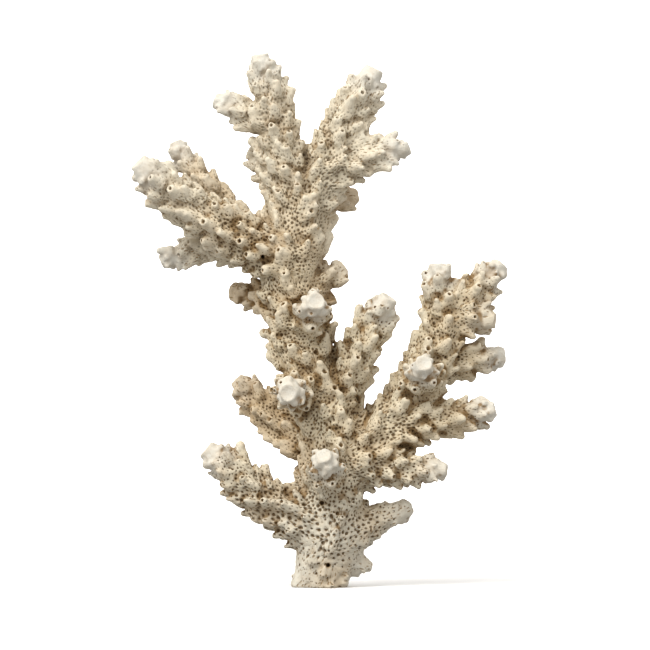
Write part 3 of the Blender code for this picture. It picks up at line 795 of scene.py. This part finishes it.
class Nodes:
    """A material's node tree, with short calls for the nodes that it uses."""

    def __init__(self, material):
        self.tree = material.node_tree

    def add(self, kind, inputs=None, **settings):
        node = self.tree.nodes.new(kind)
        for key, value in settings.items():
            setattr(node, key, value)
        for key, value in (inputs or {}).items():
            self.feed(node.inputs[key], value)
        return node

    def feed(self, socket, value):
        if isinstance(value, bpy.types.NodeSocket):
            self.tree.links.new(value, socket)
        else:
            socket.default_value = value

    def mark(self, name, output="Fac"):
        return self.add("ShaderNodeAttribute", attribute_name=name).outputs[output]

    def math(self, operation, a, b):
        return self.add("ShaderNodeMath", {0: a, 1: b}, operation=operation).outputs[0]

    def ramp(self, value, low, high, start=0.0, end=1.0):
        return self.add("ShaderNodeMapRange", {"Value": value, "From Min": low, "From Max": high,
                                               "To Min": start, "To Max": end},
                        interpolation_type="SMOOTHSTEP").outputs["Result"]

    def noise(self, place, scale, detail=2.0, roughness=0.5):
        return self.add("ShaderNodeTexNoise", {"Vector": place, "Scale": scale, "Detail": detail,
                                               "Roughness": roughness}).outputs["Fac"]

    def mix(self, share, a, b):
        node = self.add("ShaderNodeMix", data_type="RGBA")
        for socket, value in zip((node.inputs[0], node.inputs[6], node.inputs[7]), (share, a, b)):
            self.feed(socket, value)
        return node.outputs[2]


def skeleton_material():
    material = bpy.data.materials.new("bleached_skeleton")
    material.use_nodes = True
    nodes = Nodes(material)
    shader = material.node_tree.nodes["Principled BSDF"]
    place = nodes.add("ShaderNodeTexCoord").outputs["Object"]
    height = nodes.add("ShaderNodeSeparateXYZ", {"Vector": place}).outputs["Z"]
    flow = nodes.mark("flow", "Vector")

    branch = (0.60, 0.525, 0.38, 1)
    worn = (0.55, 0.52, 0.44, 1)
    cream = (0.67, 0.615, 0.495, 1)
    white = (0.60, 0.58, 0.52, 1)
    # Stains, and the painted shade of the lines behind
    stain_and_shade_brown = (0.46, 0.33, 0.19, 1)
    # Streaks, and the painted shade in hollows and fine pores
    streak_and_shade_brown = (0.22, 0.125, 0.038, 1)
    # Painted shade in the pores
    pore_shade_brown = (0.115, 0.065, 0.022, 1)

    # Large stains at random, the skeleton's own colour
    stain_and_shade = nodes.noise(place, 55.0, 3.0)
    mottle = nodes.noise(place, 420.0, 3.0, 0.6)
    grain = nodes.noise(place, 2600.0, 2.0, 0.6)
    streak = nodes.noise(flow, 2200.0, 2.0, 0.6)
    ragged = nodes.noise(place, 1500.0, 1.0)
    rise = nodes.mark("rise")
    tip = nodes.mark("tip")
    pale = nodes.mark("pale")

    # Fine pores between the modelled ones, drawn out lengthwise, and none on the tips and lips, painted dark
    # as the shade inside holes that are not modelled
    cells = nodes.add("ShaderNodeTexVoronoi", {"Vector": flow, "Scale": 1250.0}).outputs["Distance"]
    smooth = nodes.math("MAXIMUM", nodes.ramp(rise, 1.8, 3.0), nodes.ramp(tip, 0.5, 0.9))
    fine = nodes.math("MULTIPLY", nodes.ramp(cells, 0.16, 0.34, 1.0, 0.0),
                      nodes.math("SUBTRACT", 1.0, smooth))
    frayed = nodes.math("MULTIPLY", nodes.math("SUBTRACT", ragged, 0.5), 0.9)
    # Painted shade: the modelled pits are painted nearly black, as the shade deep inside the pores
    pore = nodes.ramp(nodes.math("ADD", nodes.mark("pore"), frayed), 0.6, 1.35, 1.0, 0.0)
    pore = nodes.math("MULTIPLY", pore, nodes.ramp(rise, 0.9, 2.6, 0.9, 0.65))
    pore = nodes.math("MULTIPLY", pore, nodes.ramp(pale, 0.0, 1.0, 1.0, 0.5))
    # Painted shade: corners with little room outside them, in hollows and creases, are painted darker as the
    # shade that falls there, less so on the bleached upper branches
    hollow_shade = nodes.math("MULTIPLY", nodes.ramp(nodes.mark("hollow_shade"), 0.12, 0.75, 0.0, 0.85),
                        nodes.ramp(pale, 0.0, 1.0, 1.0, 0.35))

    colour = nodes.mix(nodes.ramp(height, 0.012, 0.05, 0.8, 0.0), branch, worn)
    colour = nodes.mix(nodes.ramp(stain_and_shade, 0.42, 0.68, 0.0, 0.4), colour, stain_and_shade_brown)
    colour = nodes.mix(nodes.math("MULTIPLY", pale, 0.8), colour, cream)
    # Painted shade: the lines that lie behind are painted darker, for the shadow they sit in
    colour = nodes.mix(nodes.math("MULTIPLY", nodes.mark("stain_and_shade"), 0.8), colour, stain_and_shade_brown)
    crest = nodes.math("MULTIPLY", nodes.ramp(rise, 1.6, 3.3), nodes.ramp(height, 0.03, 0.12, 0.35, 0.6))
    colour = nodes.mix(crest, colour, cream)
    colour = nodes.mix(nodes.math("MULTIPLY", tip, 0.9), colour, white)
    colour = nodes.mix(nodes.ramp(mottle, 0.35, 0.7, 0.0, 0.2), colour, stain_and_shade_brown)
    colour = nodes.mix(nodes.ramp(streak, 0.5, 0.8, 0.0, 0.25), colour, streak_and_shade_brown)
    # Painted shade in hollows and creases
    colour = nodes.mix(hollow_shade, colour, streak_and_shade_brown)
    # Painted shade in the fine pores and in the modelled ones
    colour = nodes.mix(nodes.math("MULTIPLY", fine, 0.7), colour, streak_and_shade_brown)
    colour = nodes.mix(pore, colour, pore_shade_brown)
    nodes.feed(shader.inputs["Base Color"], colour)

    nodes.feed(shader.inputs["Roughness"], nodes.ramp(grain, 0.2, 0.8, 0.74, 0.95))
    shader.inputs["Specular IOR Level"].default_value = 0.25

    ridges = nodes.math("ADD", nodes.math("MULTIPLY", grain, 0.5), nodes.math("MULTIPLY", streak, 0.7))
    relief = nodes.math("SUBTRACT", ridges, nodes.math("ADD", fine, pore))
    bump = nodes.add("ShaderNodeBump", {"Strength": 0.8, "Distance": 0.0003, "Height": relief})
    nodes.feed(shader.inputs["Normal"], bump.outputs["Normal"])
    return material


def build_skeleton():
    lines = {name: smooth_line(points) for name, points in BRANCHES.items()}
    core, field = build_fields(lines)
    corners, quads = net_of(field)
    quads = largest_part(quads, len(corners))
    normals = corner_normals(corners, quads)

    rise = core.at(corners)
    away = np.array([np.linalg.norm(corners - line[-1][0], axis=1) for line in lines.values()])
    paleness = np.array([PALENESS.get(name, 1.0) for name in lines])
    tip = (paleness[:, None] * (1 - steady(*WHITE_REACH, away))).max(axis=0)
    upper = np.array([line[-1][0].z > BLEACHED_HEIGHT for line in lines.values()])
    pale = (1 - steady(*BLEACHED_REACH, away[upper])).max(axis=0)
    # Painted shade: how shut in each corner is, from the room outside it along its normal
    room = [field.at(corners + normals * far) / far for far in SHADE_PROBE_REACHES]
    hollow_shade = 1 - np.mean(room, axis=0)
    # Painted shade on the lines that lie behind
    stain_and_shade = shade_behind_of(corners, lines, rise)
    middle = nearest_on_lines(corners, lines)
    flow = (corners - STREAK_DRAWN * middle) * MM

    places = corners - PORE_DRAWN * middle
    corners, pore = sink_pores(corners, normals, places, rise, away.min(axis=0))
    normals = corner_normals(corners, quads)
    marks = {"rise": rise, "tip": tip, "hollow_shade": np.clip(hollow_shade, 0, 1),
             "pore": np.minimum(pore, PORE_FARTHEST), "stain_and_shade": stain_and_shade, "pale": pale, "flow": flow}
    owner = owners(corners, quads)
    material = skeleton_material()
    for number, name in enumerate(sorted(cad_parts)):
        piece = make_piece(name, field, corners, normals, quads[owner == number], marks, material)
        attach(piece, "root")
        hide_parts(name)
        next(slot for slot, names in SLOTS.items() if name in names)


def plain_material(name, colour, emission=0.0):
    material = bpy.data.materials.new(name)
    material.use_nodes = True
    shader = material.node_tree.nodes["Principled BSDF"]
    shader.inputs["Base Color"].default_value = colour
    shader.inputs["Roughness"].default_value = 0.9
    if emission:
        shader.inputs["Emission Color"].default_value = colour
        shader.inputs["Emission Strength"].default_value = emission
    return material


def add_stage():
    """A pale floor disc, and a white dome that only the camera sees."""
    bpy.ops.mesh.primitive_circle_add(vertices=128, radius=FLOOR_RADIUS, fill_type="NGON")
    floor = bpy.context.object
    floor.name = "floor"
    floor.data.materials.append(plain_material("floor_white", (0.93, 0.93, 0.93, 1)))
    floor.visible_diffuse = False
    bpy.ops.mesh.primitive_uv_sphere_add(segments=64, ring_count=32, radius=DOME_RADIUS)
    dome = bpy.context.object
    dome.name = "backdrop"
    dome.data.materials.append(plain_material("backdrop_white", (1, 1, 1, 1), 1.0))
    dome.visible_diffuse = False
    dome.visible_glossy = False
    dome.visible_transmission = False
    dome.visible_shadow = False
    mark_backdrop(floor, dome)


def add_key_light():
    """A broad soft light from the upper left, in front."""
    data = bpy.data.lights.new("key", "SUN")
    data.energy = KEY_STRENGTH
    data.angle = KEY_SPREAD
    data.color = (1.0, 0.99, 0.97)
    light = bpy.data.objects.new("key", data)
    light.rotation_mode = "QUATERNION"
    light.rotation_quaternion = Vector(KEY_FROM).to_track_quat("Z", "Y")
    bpy.context.scene.collection.objects.link(light)


def add_fill_light():
    """A dim sky all round, paler above than below."""
    world = bpy.data.worlds.new("studio")
    bpy.context.scene.world = world
    world.use_nodes = True
    tree = world.node_tree
    background = tree.nodes["Background"]
    direction = tree.nodes.new("ShaderNodeTexCoord")
    parts = tree.nodes.new("ShaderNodeSeparateXYZ")
    ramp = tree.nodes.new("ShaderNodeMapRange")
    ramp.inputs["From Min"].default_value = -1.0
    ramp.inputs["To Min"].default_value = SKY_BELOW
    ramp.inputs["To Max"].default_value = SKY_ABOVE
    tree.links.new(direction.outputs["Generated"], parts.inputs["Vector"])
    tree.links.new(parts.outputs["Z"], ramp.inputs["Value"])
    tree.links.new(ramp.outputs["Result"], background.inputs["Strength"])
    background.inputs["Color"].default_value = (1, 0.98, 0.95, 1)
    bpy.context.scene.view_settings.view_transform = "Standard"


def add_camera():
    """A long lens on the photograph's frame, looking straight at the fan."""
    data = bpy.data.cameras.new("camera")
    data.lens = LENS
    data.sensor_width = SENSOR
    camera = bpy.data.objects.new("camera", data)
    camera.location = (VIEW_CENTRE[0], -FRAME_WIDTH * LENS / SENSOR, VIEW_CENTRE[1])
    camera.rotation_euler = (math.pi / 2, 0, 0)
    data.clip_end = CLIP_END
    bpy.context.scene.collection.objects.link(camera)
    bpy.context.scene.camera = camera


add_camera()
add_key_light()
add_fill_light()
add_stage()
build_skeleton()

boxes = {"cad": CAD_BOX, "visual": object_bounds()}
{name: [list(corner) for corner in box] for name, box in boxes.items()}
